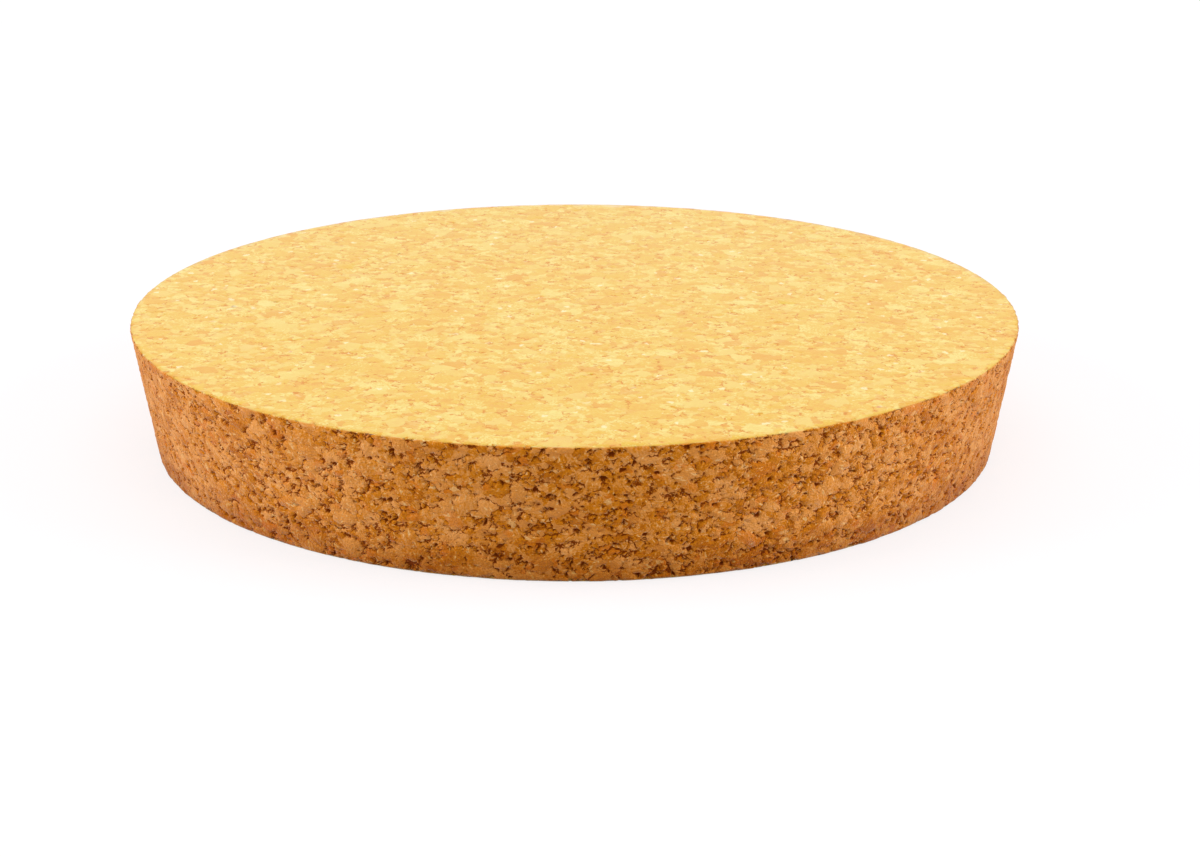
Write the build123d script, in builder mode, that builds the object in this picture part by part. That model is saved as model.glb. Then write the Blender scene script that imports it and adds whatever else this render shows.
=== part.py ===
from build123d import *
import os
from math import radians, tan

# A wide, shallow stopper for the mouth of a large jar or crock. It is one piece:
# a slab of pressed cork granules, cut round, ground to a taper and sanded flat on
# both faces. It stands on its smaller face. The origin is at the centre of that
# face, with +Z up along the stopper's axis.

# Driving dimensions, in millimetres and degrees.
top_diameter = 175.0  # larger face, which stays outside the mouth
thickness = 25.4  # the one inch slab that it is cut from
side_taper = 9.1  # lean of the ground side from the axis, in degrees
top_edge_round = 0.3  # crisp rim, only broken by the sanding
bottom_edge_round = 0.5  # rim that enters the mouth first, worn a little softer

# The smaller face follows from the taper, so the side keeps its lean when the
# stopper is made wider, narrower, thicker or thinner.
top_radius = top_diameter / 2
bottom_radius = top_radius - thickness * tan(radians(side_taper))

os.makedirs("parts", exist_ok=True)

with BuildPart() as cork_stopper:
    # Half of the section through the axis, turned once round.
    with BuildSketch(Plane.XZ):
        with BuildLine():
            Polyline(
                (0, 0),
                (bottom_radius, 0),
                (top_radius, thickness),
                (0, thickness),
                close=True,
            )
        make_face()
    revolve(axis=Axis.Z)

    # The two rims of the side, the upper one first.
    top_rim = cork_stopper.edges().filter_by(GeomType.CIRCLE).sort_by(Axis.Z)[-1]
    fillet(top_rim, radius=top_edge_round)
    bottom_rim = cork_stopper.edges().filter_by(GeomType.CIRCLE).sort_by(Axis.Z)[0]
    fillet(bottom_rim, radius=bottom_edge_round)

cork_stopper.part.label = "cork_stopper"
export_step(cork_stopper.part, "parts/cork_stopper.step")

print("top diameter", round(top_diameter, 2), "bottom diameter", round(2 * bottom_radius, 2))
print("volume", round(cork_stopper.part.volume), "mm3")
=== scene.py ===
import bmesh
import bpy
import math
import time
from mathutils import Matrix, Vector


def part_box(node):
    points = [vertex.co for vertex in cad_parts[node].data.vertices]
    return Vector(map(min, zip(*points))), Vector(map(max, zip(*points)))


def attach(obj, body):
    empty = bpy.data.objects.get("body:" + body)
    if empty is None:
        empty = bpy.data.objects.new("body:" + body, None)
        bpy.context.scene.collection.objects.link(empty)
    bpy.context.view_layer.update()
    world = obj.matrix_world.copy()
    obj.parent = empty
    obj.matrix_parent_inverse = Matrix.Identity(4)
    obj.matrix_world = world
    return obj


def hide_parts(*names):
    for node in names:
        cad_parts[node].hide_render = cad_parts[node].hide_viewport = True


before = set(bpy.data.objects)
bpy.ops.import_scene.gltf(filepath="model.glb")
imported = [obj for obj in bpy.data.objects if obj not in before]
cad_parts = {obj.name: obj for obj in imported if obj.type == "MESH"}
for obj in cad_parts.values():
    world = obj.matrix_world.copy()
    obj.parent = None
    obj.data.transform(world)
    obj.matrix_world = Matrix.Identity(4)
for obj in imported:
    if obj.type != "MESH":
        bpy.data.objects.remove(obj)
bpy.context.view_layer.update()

# A wide cork stopper of pressed granules. Lengths are in metres, and the pattern
# of the cork is worked out in millimetres.
started = time.time()
mm = 0.001


def report(stage):
    print("stage:", stage, round(time.time() - started, 1), "s")


# node helpers, used by the relief and by the material alike
def addNode(tree, kind, sockets=None, **settings):
    node = tree.nodes.new(kind)
    for name, value in settings.items():
        setattr(node, name, value)
    for key, value in (sockets or {}).items():
        if isinstance(value, bpy.types.NodeSocket):
            tree.links.new(value, node.inputs[key])
        else:
            node.inputs[key].default_value = value
    return node


def calc(tree, operation, a, b=0.0, c=0.0):
    return addNode(tree, "ShaderNodeMath", {0: a, 1: b, 2: c}, operation=operation).outputs[0]


def vectorCalc(tree, operation, a, b=(0, 0, 0)):
    return addNode(tree, "ShaderNodeVectorMath", {0: a, 1: b}, operation=operation).outputs[0]


def remap(tree, value, low, high, toLow=0.0, toHigh=1.0, kind="SMOOTHSTEP"):
    # low may be above high, which turns the slope round
    sockets = {"Value": value, "From Min": low, "From Max": high, "To Min": toLow, "To Max": toHigh}
    return addNode(tree, "ShaderNodeMapRange", sockets, interpolation_type=kind).outputs[0]


def mixValue(tree, factor, a, b):
    return addNode(tree, "ShaderNodeMix", {0: factor, 2: a, 3: b}, data_type="FLOAT").outputs[0]


def mixColor(tree, factor, a, b, blend="MIX"):
    sockets = {0: factor, 6: a, 7: b}
    return addNode(tree, "ShaderNodeMix", sockets, data_type="RGBA", blend_type=blend).outputs[2]


def noise(tree, place, size, detail=1.0, roughness=0.5, output=0):
    # size is the width of one blot, in millimetres
    sockets = {"Vector": place, "Scale": 1 / size, "Detail": detail, "Roughness": roughness}
    return addNode(tree, "ShaderNodeTexNoise", sockets).outputs[output]


def cells(tree, place, size):
    # a random colour for each cell, and how deep in the cell a point lies, in millimetres
    inside = {"Vector": place, "Scale": 1 / size}
    tint = addNode(tree, "ShaderNodeTexVoronoi", inside, feature="F1").outputs["Color"]
    edge = addNode(tree, "ShaderNodeTexVoronoi", inside, feature="DISTANCE_TO_EDGE").outputs["Distance"]
    chances = addNode(tree, "ShaderNodeSeparateXYZ", {0: tint}).outputs
    return chances, tint, calc(tree, "MULTIPLY", edge, size)


# the cork, one solid pattern that the relief and the colours share
cork = dict(
    grain=1.55,           # width of the small granules, mm
    bigGrain=3.4,         # width of the big ones among them
    bigShare=0.26,        # how many of the big cells stay whole
    pressed=1.25,         # granules are flattened through the slab by the press
    bend=1.4,             # how far the granule outlines wander, mm
    bendSize=2.4,
    ragged=0.8,           # how far their edges are torn, mm
    raggedSize=0.5,
    looseSize=1.7,        # width of the spots where the granules hold less well
    looseFrom=0.47,       # looseness at which cracks open, and at which they are widest
    looseTo=0.67,
    crackWidth=0.175,     # widest half of a crack between granules, mm
    crackFloor=0.35,      # share of that half that lies at full depth
    hairline=0.02,        # narrower cracks than this stay shut
    pitGrain=0.95,        # width of the lost crumbs that leave pits
    pitShare=0.042,       # how many crumbs are lost on the ground side
    pitLip=0.02,          # how far inside a crumb its pit starts, and where it is full
    pitFloor=0.18,
    crowdSize=9.0,        # width of the stretches with few pits or many
    crowdLeast=0.25,
    crowdMost=1.9,
    fleckFrom=0.991,      # the few crumbs above this chance are pale
    fleckTo=0.996,
)
unbroken = 9.0  # mm, added inside a whole big granule so that no small one shows in it
halfway = (0.5, 0.5, 0.5)  # the middle of a noise or of a random colour


def corkPattern(tree, place):
    millimetres = vectorCalc(tree, "MULTIPLY", place, (1 / mm, 1 / mm, cork["pressed"] / mm))
    bent = millimetres
    for size, reach in ((cork["bendSize"], cork["bend"]), (cork["raggedSize"], cork["ragged"])):
        wander = vectorCalc(tree, "SUBTRACT", noise(tree, millimetres, size, output=1), halfway)
        bent = vectorCalc(tree, "ADD", bent, vectorCalc(tree, "MULTIPLY", wander, (reach,) * 3))

    small, smallTint, smallDepth = cells(tree, bent, cork["grain"])
    big, bigTint, bigDepth = cells(tree, bent, cork["bigGrain"])
    whole = calc(tree, "LESS_THAN", big[2], cork["bigShare"])
    smallDepth = calc(tree, "MULTIPLY_ADD", whole, unbroken, smallDepth)
    depth = calc(tree, "MINIMUM", bigDepth, smallDepth)

    looseness = noise(tree, millimetres, cork["looseSize"], 2.0, 0.6)
    loose = cork["looseFrom"], cork["looseTo"], 0.0, cork["crackWidth"]
    width = remap(tree, looseness, *loose, "LINEAR")
    crack = remap(tree, depth, width, calc(tree, "MULTIPLY", width, cork["crackFloor"]))
    crack = calc(tree, "MULTIPLY", crack, calc(tree, "GREATER_THAN", width, cork["hairline"]))

    crumb, _, crumbDepth = cells(tree, bent, cork["pitGrain"])
    crowding = noise(tree, millimetres, cork["crowdSize"])
    crowding = remap(tree, crowding, 0.35, 0.65, cork["crowdLeast"], cork["crowdMost"])
    lost = calc(tree, "LESS_THAN", crumb[0], calc(tree, "MULTIPLY", crowding, cork["pitShare"]))
    pit = calc(tree, "MULTIPLY", lost, remap(tree, crumbDepth, cork["pitLip"], cork["pitFloor"]))
    return dict(
        place=millimetres,
        tone=mixValue(tree, whole, small[0], big[0]),
        hue=mixValue(tree, whole, small[1], big[1]),
        tint=mixColor(tree, whole, smallTint, bigTint),
        depth=depth, crack=crack, pit=pit, looseness=looseness,
        fleck=remap(tree, crumb[1], cork["fleckFrom"], cork["fleckTo"]),
    )


cameraSet = dict(
    stand=(0.0, -0.42527, 0.14393),   # eye, from the middle of the underside
    aim=(0.00496, 0.0, -0.00113),
    roll=math.radians(0.15),
    lens=66.1,                        # on the 36 mm wide sensor
    nearest=0.01,
    farthest=20,
)


def makeCamera():
    data = bpy.data.cameras.new("camera")
    data.lens = cameraSet["lens"]
    data.clip_start, data.clip_end = cameraSet["nearest"], cameraSet["farthest"]
    camera = bpy.data.objects.new("camera", data)
    bpy.context.collection.objects.link(camera)
    stand = Vector(cameraSet["stand"])
    look = (Vector(cameraSet["aim"]) - stand).to_track_quat("-Z", "Y")
    camera.location = stand
    camera.rotation_euler = look.to_euler()
    camera.rotation_euler.rotate_axis("Z", cameraSet["roll"])
    bpy.context.scene.camera = camera


# a white sweep, a softbox overhead, one at each hand and a weak one in front
studio = dict(
    aim=(0, 0, 0.01),
    overheadPower=6.5,
    overheadSize=1.6,
    overheadHeight=1.2,
    handPower=9.2,
    handSize=0.8,
    handReach=1.0,
    handHeight=0.35,
    handForward=0.1,                    # towards the lens from the middle
    frontPower=1.3,
    ambient=0.42,
    floorSize=8.0,
    floorGlow=1.02,                     # plain white, a hair over
    floorBounce=(0.48, 0.48, 0.48, 1),  # what the floor sends back onto the cork
    floorSeen=(0.97, 0.90, 0.93, 1),    # what the lens sees of it in the shadow
    floorLift=0.70,                     # share of plain white mixed over the floor by the cork
    shadowEnd=0.6,                      # past this far out the floor is plain white
)


def softbox(name, power, size, place, aim):
    data = bpy.data.lights.new(name, "AREA")
    data.energy = power
    data.size = size
    lamp = bpy.data.objects.new(name, data)
    bpy.context.collection.objects.link(lamp)
    lamp.location = place
    lamp.rotation_euler = (Vector(aim) - Vector(place)).to_track_quat("-Z", "Y").to_euler()


def seenDirectly(tree):
    # 1 for the lens and for what shines or shows through, 0 for light that spreads
    rays = addNode(tree, "ShaderNodeLightPath").outputs
    mirrored = calc(tree, "MAXIMUM", rays["Is Glossy Ray"], rays["Is Transmission Ray"])
    return calc(tree, "MAXIMUM", rays["Is Camera Ray"], mirrored)


def makeStudio():
    aim, reach, height = studio["aim"], studio["handReach"], studio["handHeight"]
    overhead = (0, 0, studio["overheadHeight"])
    softbox("overhead", studio["overheadPower"], studio["overheadSize"], overhead, aim)
    for name, side in (("leftHand", -1), ("rightHand", 1)):
        place = (side * reach, -studio["handForward"], height)
        softbox(name, studio["handPower"], studio["handSize"], place, aim)
    softbox("front", studio["frontPower"], studio["handSize"], (0, -reach, height), aim)

    world = bpy.data.worlds.new("studio")
    bpy.context.scene.world = world
    world.use_nodes = True
    tree = world.node_tree
    tree.nodes.clear()
    plain = (1, 1, 1, 1)
    soft = addNode(tree, "ShaderNodeBackground", {"Color": plain, "Strength": studio["ambient"]})
    white = addNode(tree, "ShaderNodeBackground", {"Color": plain, "Strength": 1.0})
    shown = {0: seenDirectly(tree), 1: soft.outputs[0], 2: white.outputs[0]}
    sky = addNode(tree, "ShaderNodeMixShader", shown)
    addNode(tree, "ShaderNodeOutputWorld", {"Surface": sky.outputs[0]})

    bm = bmesh.new()
    bmesh.ops.create_grid(bm, x_segments=1, y_segments=1, size=studio["floorSize"] / 2)
    mesh = bpy.data.meshes.new("floor")
    bm.to_mesh(mesh)
    bm.free()
    floor = bpy.data.objects.new("floor", mesh)
    bpy.context.collection.objects.link(floor)
    paper = bpy.data.materials.new("whitePaper")
    paper.use_nodes = True
    tree = paper.node_tree
    tree.nodes.clear()
    seen = seenDirectly(tree)
    color = mixColor(tree, seen, studio["floorBounce"], studio["floorSeen"])
    matt = addNode(tree, "ShaderNodeBsdfDiffuse", {"Color": color})
    glow = addNode(tree, "ShaderNodeEmission", {"Color": plain, "Strength": studio["floorGlow"]})
    away = addNode(tree, "ShaderNodeTexCoord").outputs["Object"]
    away = addNode(tree, "ShaderNodeVectorMath", {0: away}, operation="LENGTH").outputs["Value"]
    lift = remap(tree, away, studio["shadowEnd"] / 3, studio["shadowEnd"], studio["floorLift"], 1.0)
    lift = calc(tree, "MULTIPLY", seen, lift)
    lifted = addNode(tree, "ShaderNodeMixShader", {0: lift, 1: matt.outputs[0], 2: glow.outputs[0]})
    addNode(tree, "ShaderNodeOutputMaterial", {"Surface": lifted.outputs[0]})
    mesh.materials.append(paper)


stopper = dict(
    lean=math.radians(9.1),   # of the ground side, in towards the underside
    topRound=0.3 * mm,        # crisp rim, only broken by the sanding
    footRound=0.5 * mm,       # rim that goes into the mouth first
    rings=200,                # rings of mesh on each face; the side has eight points to a ring
    sideRows=90,
    triangles=190000,         # what is kept after thinning
    pitDepth=0.95,            # relief in mm from here on
    crackDepth=0.36,
    grainStep=0.10,           # how far one granule stands proud of the next
    grainCrown=0.10,          # how far a granule falls away at its edge
    grainEdge=0.5,            # how wide that edge is
    sandedShare=0.12,         # how much of that relief the sanding leaves
    sandedFrom=0.86,          # how level the surface is where sanding starts, and where it is full
    sandedTo=0.995,
)
doubles = 0.02 * mm  # points nearer than this are one


def squareToDisc(x, y):
    # each square ring of a grid becomes a round one, with its points evenly spread
    if x == 0 and y == 0:
        return 0.0, 0.0
    if abs(x) >= abs(y):
        turn = math.pi / 4 * y / x
        return x * math.cos(turn), x * math.sin(turn)
    turn = math.pi / 4 * x / y
    return y * math.sin(turn), y * math.cos(turn)


def addFace(bm, rings, radius, height):
    made = bmesh.ops.create_grid(bm, x_segments=2 * rings, y_segments=2 * rings, size=1)
    for vert in made["verts"]:
        x, y = squareToDisc(vert.co.x, vert.co.y)
        vert.co = (x * radius, y * radius, height)


def rimRound(corner, size, start, end, steps=4):
    # points of the arc that rounds a corner of the section, from one direction to the other
    x, z = corner
    middle = (start + end) / 2
    reach = size / math.cos((end - start) / 2)
    x, z = x - reach * math.cos(middle), z - reach * math.sin(middle)
    turns = [start + (end - start) * i / steps for i in range(steps + 1)]
    return [(x + size * math.cos(turn), z + size * math.sin(turn)) for turn in turns]


def stopperMesh(low, high):
    # a face of round rings, its edge drawn down the side, and the other face
    rings, rows = stopper["rings"], stopper["sideRows"]
    topRadius = high.x
    footRadius = topRadius - (high.z - low.z) * math.tan(stopper["lean"])
    up, out, down = math.pi / 2, -stopper["lean"], -math.pi / 2
    top = rimRound((topRadius, high.z), stopper["topRound"], up, out)
    foot = rimRound((footRadius, low.z), stopper["footRound"], out, down)
    (topEdge, topLevel), (footEdge, footLevel) = top[-1], foot[0]
    side = []
    for i in range(1, rows):
        radius = topEdge + (footEdge - topEdge) * i / rows
        side.append((radius, topLevel + (footLevel - topLevel) * i / rows))
    bm = bmesh.new()
    addFace(bm, rings, top[0][0], high.z)
    edge = [e for e in bm.edges if e.is_boundary]
    for radius, height in top[1:] + side + foot:
        made = bmesh.ops.extrude_edge_only(bm, edges=edge)["geom"]
        edge = [e for e in made if isinstance(e, bmesh.types.BMEdge) and e.is_boundary]
        for vert in (v for v in made if isinstance(v, bmesh.types.BMVert)):
            flat = Vector((vert.co.x, vert.co.y)).normalized() * radius
            vert.co = (flat.x, flat.y, height)
    addFace(bm, rings, foot[-1][0], low.z)
    bmesh.ops.remove_doubles(bm, verts=bm.verts, dist=doubles)
    bmesh.ops.recalc_face_normals(bm, faces=bm.faces)
    for face in bm.faces:
        face.smooth = True
    mesh = bpy.data.meshes.new("stopper")
    bm.to_mesh(mesh)
    bm.free()
    return mesh


def reliefTree():
    # moves every point in along its normal by the depth of the pits and cracks there
    tree = bpy.data.node_groups.new("corkRelief", "GeometryNodeTree")
    for side in ("INPUT", "OUTPUT"):
        tree.interface.new_socket("Geometry", in_out=side, socket_type="NodeSocketGeometry")
    start = addNode(tree, "NodeGroupInput")
    place = addNode(tree, "GeometryNodeInputPosition").outputs[0]
    normal = addNode(tree, "GeometryNodeInputNormal").outputs[0]
    up = addNode(tree, "ShaderNodeSeparateXYZ", {0: normal}).outputs[2]
    level = calc(tree, "ABSOLUTE", up)
    sanded = remap(tree, level, stopper["sandedFrom"], stopper["sandedTo"])

    pattern = corkPattern(tree, place)
    crown = remap(tree, pattern["depth"], 0.0, stopper["grainEdge"], stopper["grainCrown"], 0.0)
    step = calc(tree, "MULTIPLY", pattern["tone"], stopper["grainStep"])
    pit = calc(tree, "MULTIPLY", pattern["pit"], stopper["pitDepth"])
    crack = calc(tree, "MULTIPLY", pattern["crack"], stopper["crackDepth"])
    depth = calc(tree, "ADD", calc(tree, "ADD", crown, step), calc(tree, "MAXIMUM", pit, crack))
    share = mixValue(tree, sanded, 1.0, stopper["sandedShare"])
    depth = calc(tree, "MULTIPLY", calc(tree, "MULTIPLY", depth, share), -mm)
    along = {0: normal, "Scale": depth}
    offset = addNode(tree, "ShaderNodeVectorMath", along, operation="SCALE").outputs[0]

    # the material needs the places from before the move
    kept = start
    for name, value, kind in (("place", place, "FLOAT_VECTOR"), ("sanded", sanded, "FLOAT")):
        sockets = {"Geometry": kept.outputs[0], "Name": name, "Value": value}
        kept = addNode(tree, "GeometryNodeStoreNamedAttribute", sockets, data_type=kind)
    moved = addNode(tree, "GeometryNodeSetPosition", {"Geometry": kept.outputs[0], "Offset": offset})
    addNode(tree, "NodeGroupOutput", {0: moved.outputs[0]})
    return tree


def makeStopper():
    low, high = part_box("cork_stopper")
    rough = bpy.data.objects.new("roughStopper", stopperMesh(Vector(low), Vector(high)))
    bpy.context.collection.objects.link(rough)
    report("mesh of %d faces" % len(rough.data.polygons))
    relief = rough.modifiers.new("relief", "NODES")
    relief.node_group = reliefTree()
    thin = rough.modifiers.new("thin", "DECIMATE")
    thin.use_collapse_triangulate = True
    thin.ratio = stopper["triangles"] / (2 * len(rough.data.polygons))
    bpy.context.view_layer.update()
    worked = rough.evaluated_get(bpy.context.evaluated_depsgraph_get())
    shape = bpy.data.meshes.new_from_object(worked)
    bpy.data.objects.remove(rough)
    shape.name = "stopper"
    piece = bpy.data.objects.new("stopper", shape)
    bpy.context.collection.objects.link(piece)
    report("relief, thinned to %d faces" % len(shape.polygons))
    shape.materials.clear()
    shape.materials.append(corkMaterial())
    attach(piece, "root")
    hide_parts("cork_stopper")


# the ground side, and below it the sanded faces
groundCork = dict(
    tones=((0.05, "brown"), (0.45, "gold"), (0.95, "tan")),
    brown=(0.52, 0.14, 0.002, 1),
    gold=(0.70, 0.222, 0.002, 1),
    tan=(0.88, 0.372, 0.095, 1),
    rust=(0.74, 0.19, 0.012, 1),
    paleFleckAndHighlight=(0.95, 0.60, 0.24, 1),     # painted highlight on the granule edges, and the colour of the pale flecks
    paintedFootShade=(0.72, 0.61, 0.32, 1),   # painted shade: the foot of the side darker, standing in for shade near the floor
    # cracks and pits: partly their own darker matter, partly painted shade in these hollows, besides
    # the shade their depth in the mesh gives
    crack=(0.27, 0.05, 0.0005, 1),
    paintedHighlightFrom=0.62,                  # how light a streak is where it turns to the painted highlight
    paintedHighlightTo=0.74,
    paintedHighlightShare=0.75,
    fleckShare=0.5,
    footHeight=10.0,                # how far up the painted shade at the foot reaches, and how unevenly, in the pattern's millimetres, which are shorter up the slab
    footWander=6.0,                 # pattern's millimetres, which are shorter up the slab
)
sandedCork = dict(
    tones=((0.1, "apricot"), (0.42, "honey"), (0.66, "honey"), (0.88, "cream")),
    brown=(0.735, 0.312, 0.048, 1),
    apricot=(0.762, 0.42, 0.072, 1),
    honey=(0.772, 0.496, 0.088, 1),
    cream=(0.80, 0.644, 0.211, 1),
    fleck=(0.83, 0.742, 0.42, 1),
    crack=(0.675, 0.234, 0.0145, 1),
    fleckShare=0.8,
    speckFrom=0.50,                 # looseness at which the cracks begin to show as specks
    speckTo=0.66,
    speckLeast=0.08,
    speckMost=0.9,
)
barkCells = dict(
    toneShare=0.62,      # how far the granules differ from each other
    mottleSize=0.42,     # the cells in a granule, mm
    mottleShare=1.15,
    streakSize=0.7,      # streaks that lie another way in every granule, mm
    streakShare=1.1,
    streakStretch=(0.4, 2.0, 1.0),
    streakTurn=6.0,      # radians
    patchSize=8.0,       # wide light and dark patches, mm
    patchShare=1.0,
    rustFrom=0.88,       # granules above this chance are rusty
    rustTo=0.95,
    paleFrom=0.34,       # granules below this chance are pale
    paleTo=0.18,
    oddShare=0.5,        # how far the rusty and the pale ones differ
)
finish = dict(
    roughness=0.88,
    smoother=0.08,       # taken off it in the hollows of the mottle
    rougher=0.06,        # and added on its crests
    specular=0.08,
    sheen=0.40,
    sheenRoughness=0.35,
    sheenTint=(1.0, 0.89, 0.80, 1),
    sheenLost=0.85,      # share of the sheen that cracks and pits of the side swallow
    bump=0.7,
    groundGrain=0.55,    # height of the mottle in that bump
    sandedGrain=0.1,
)


def blendOfTones(tree, tone, look):
    ramp = addNode(tree, "ShaderNodeValToRGB", {"Fac": tone})
    points = ramp.color_ramp.elements
    while len(points) < len(look["tones"]):
        points.new(0.5)
    for point, (at, name) in zip(points, look["tones"]):
        point.position = at
        point.color = look[name]
    return ramp.outputs[0]


def scaled(tree, value, amount):
    return calc(tree, "MULTIPLY", value, amount)


def uneven(tree, layer, amount, base):
    # adds a layer that swings both ways about its middle
    return calc(tree, "MULTIPLY_ADD", calc(tree, "SUBTRACT", layer, 0.5), amount, base)


def corkMaterial():
    material = bpy.data.materials.new("pressedCork")
    material.use_nodes = True
    tree = material.node_tree
    tree.nodes.clear()
    place = addNode(tree, "ShaderNodeAttribute", attribute_name="place").outputs["Vector"]
    sanded = addNode(tree, "ShaderNodeAttribute", attribute_name="sanded").outputs["Fac"]
    pattern = corkPattern(tree, place)
    tone, crack, pit = pattern["tone"], pattern["crack"], pattern["pit"]

    bark = barkCells
    mottle = noise(tree, pattern["place"], bark["mottleSize"], 2.0, 0.7)
    turned = addNode(tree, "ShaderNodeVectorRotate", {
        "Vector": pattern["place"], "Axis": vectorCalc(tree, "SUBTRACT", pattern["tint"], halfway),
        "Angle": scaled(tree, pattern["hue"], bark["streakTurn"]),
    }, rotation_type="AXIS_ANGLE").outputs[0]
    stretched = vectorCalc(tree, "MULTIPLY", turned, bark["streakStretch"])
    streak = noise(tree, stretched, bark["streakSize"], 1.0, 0.6)
    patch = noise(tree, pattern["place"], bark["patchSize"], 2.0)
    shade = uneven(tree, tone, bark["toneShare"], 0.5)
    for layer, name in ((mottle, "mottleShare"), (streak, "streakShare"), (patch, "patchShare")):
        shade = uneven(tree, layer, bark[name], shade)
    rusty = remap(tree, pattern["hue"], bark["rustFrom"], bark["rustTo"], 0.0, bark["oddShare"])
    pale = remap(tree, pattern["hue"], bark["paleFrom"], bark["paleTo"], 0.0, bark["oddShare"])
    dark = calc(tree, "MAXIMUM", crack, pit)

    look = groundCork
    ground = blendOfTones(tree, shade, look)
    ground = mixColor(tree, rusty, ground, look["rust"])
    ground = mixColor(tree, pale, ground, look["tan"])
    # painted highlight: the lightest streaks go pale, as if the granule edges caught the light
    paleFleckAndHighlight = remap(tree, streak, look["paintedHighlightFrom"], look["paintedHighlightTo"], 0.0, look["paintedHighlightShare"])
    ground = mixColor(tree, paleFleckAndHighlight, ground, look["paleFleckAndHighlight"])
    # the pale crumbs, the cork's own colour, take the same pale colour
    ground = mixColor(tree, scaled(tree, pattern["fleck"], look["fleckShare"]), ground, look["paleFleckAndHighlight"])
    # cracks and pits darkened: their own darker matter and painted shade in the hollows
    ground = mixColor(tree, dark, ground, look["crack"])
    above = addNode(tree, "ShaderNodeSeparateXYZ", {0: pattern["place"]}).outputs[2]
    # painted shade: the side turns darker towards the foot
    paintedFootShade = remap(tree, uneven(tree, patch, look["footWander"], above), look["footHeight"], 0.0)
    ground = mixColor(tree, paintedFootShade, ground, look["paintedFootShade"], "MULTIPLY")

    look = sandedCork
    smooth = blendOfTones(tree, shade, look)
    smooth = mixColor(tree, rusty, smooth, look["brown"])
    smooth = mixColor(tree, pale, smooth, look["cream"])
    smooth = mixColor(tree, scaled(tree, pattern["fleck"], look["fleckShare"]), smooth, look["fleck"])
    ends = look["speckFrom"], look["speckTo"], look["speckLeast"], look["speckMost"]
    speck = calc(tree, "MULTIPLY", dark, remap(tree, pattern["looseness"], *ends))
    smooth = mixColor(tree, speck, smooth, look["crack"])
    color = mixColor(tree, sanded, ground, smooth)

    # the cracks and pits are in the mesh; this is only the grain between them
    grain = mixValue(tree, sanded, finish["groundGrain"], finish["sandedGrain"])
    bump = addNode(tree, "ShaderNodeBump", {
        "Height": calc(tree, "MULTIPLY", mottle, grain),
        "Distance": mm, "Strength": finish["bump"],
    })
    least, most = finish["roughness"] - finish["smoother"], finish["roughness"] + finish["rougher"]
    roughness = remap(tree, mottle, 0.3, 0.7, least, most)  # a noise seldom leaves that range
    swallowed = calc(tree, "MULTIPLY", dark, calc(tree, "SUBTRACT", 1.0, sanded))
    leftover = finish["sheen"] * (1 - finish["sheenLost"])
    sheen = remap(tree, swallowed, 0.0, 1.0, finish["sheen"], leftover)
    surface = addNode(tree, "ShaderNodeBsdfPrincipled", {
        "Base Color": color, "Roughness": roughness, "Normal": bump.outputs[0],
        "Specular IOR Level": finish["specular"],
        "Sheen Weight": sheen, "Sheen Roughness": finish["sheenRoughness"],
        "Sheen Tint": finish["sheenTint"],
    })
    addNode(tree, "ShaderNodeOutputMaterial", {"Surface": surface.outputs[0]})
    return material


makeCamera()
makeStudio()
report("camera and studio")
makeStopper()
report("stopper")

view = bpy.context.scene.view_settings
view.view_transform = "Standard"
